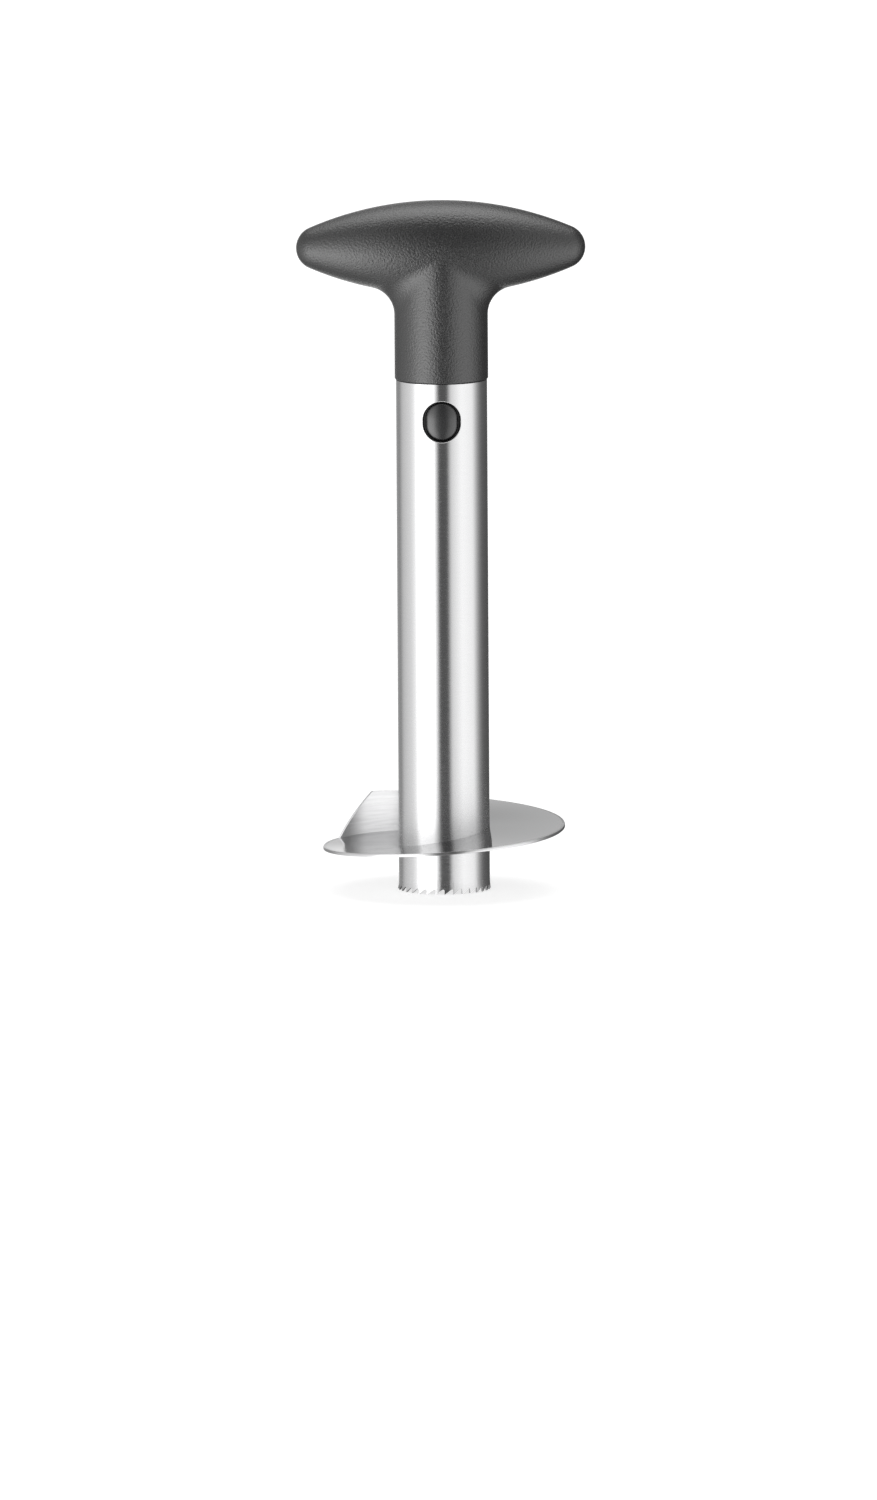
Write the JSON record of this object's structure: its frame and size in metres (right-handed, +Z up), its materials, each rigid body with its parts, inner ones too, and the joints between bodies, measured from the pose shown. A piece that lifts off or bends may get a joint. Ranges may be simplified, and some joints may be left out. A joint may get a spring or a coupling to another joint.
{
  "type": "pineapple slicer",
  "caption": "T-handled kitchen corer: a toothed steel tube with a helical slicing blade and a push-button locked grip.",
  "frame": {"origin": "on the corer tube's axis at the level of the tooth tips, on which the tool stands", "axes": "+Z up the tube to the grip, +X along the grip bar, -Y the front with the lock button that shows"},
  "size_m": [0.1014, 0.085, 0.2433],
  "materials": {
    "tube_steel": "brushed round the tube",
    "blade_steel": "satin, ground along the rim",
    "weld_steel": "satin bead",
    "grip_plastic": "charcoal, finely pebbled",
    "core_plastic": "smooth matte",
    "housing_plastic": "smooth matte black",
    "button_plastic": "charcoal, fine satin",
    "hardware_steel": "plain stainless"
  },
  "bodies": {
    "tool": {"corer_tube": "tube_steel", "slicing_blade": "blade_steel", "blade_weld": "weld_steel", "handle_grip": "grip_plastic", "handle_core": "core_plastic", "lock_housing": "housing_plastic", "lock_cap": "housing_plastic", "lock_screws": "hardware_steel", "button_spring": "hardware_steel"},
    "front_button": {"button_front": "button_plastic"},
    "rear_button": {"button_rear": "button_plastic"}
  },
  "joints": [
    {"name": "front_button_press", "type": "slide", "parent": "tool", "child": "front_button", "axis": [0, 1, 0], "range_m": [0, 0.0025], "stiffness_N_per_m": 800, "springref_m": -0.004, "deforming": ["button_spring"]},
    {"name": "rear_button_press", "type": "slide", "parent": "tool", "child": "rear_button", "axis": [0, -1, 0], "range_m": [0, 0.0025], "stiffness_N_per_m": 800, "springref_m": -0.004, "deforming": ["button_spring"]}
  ]
}
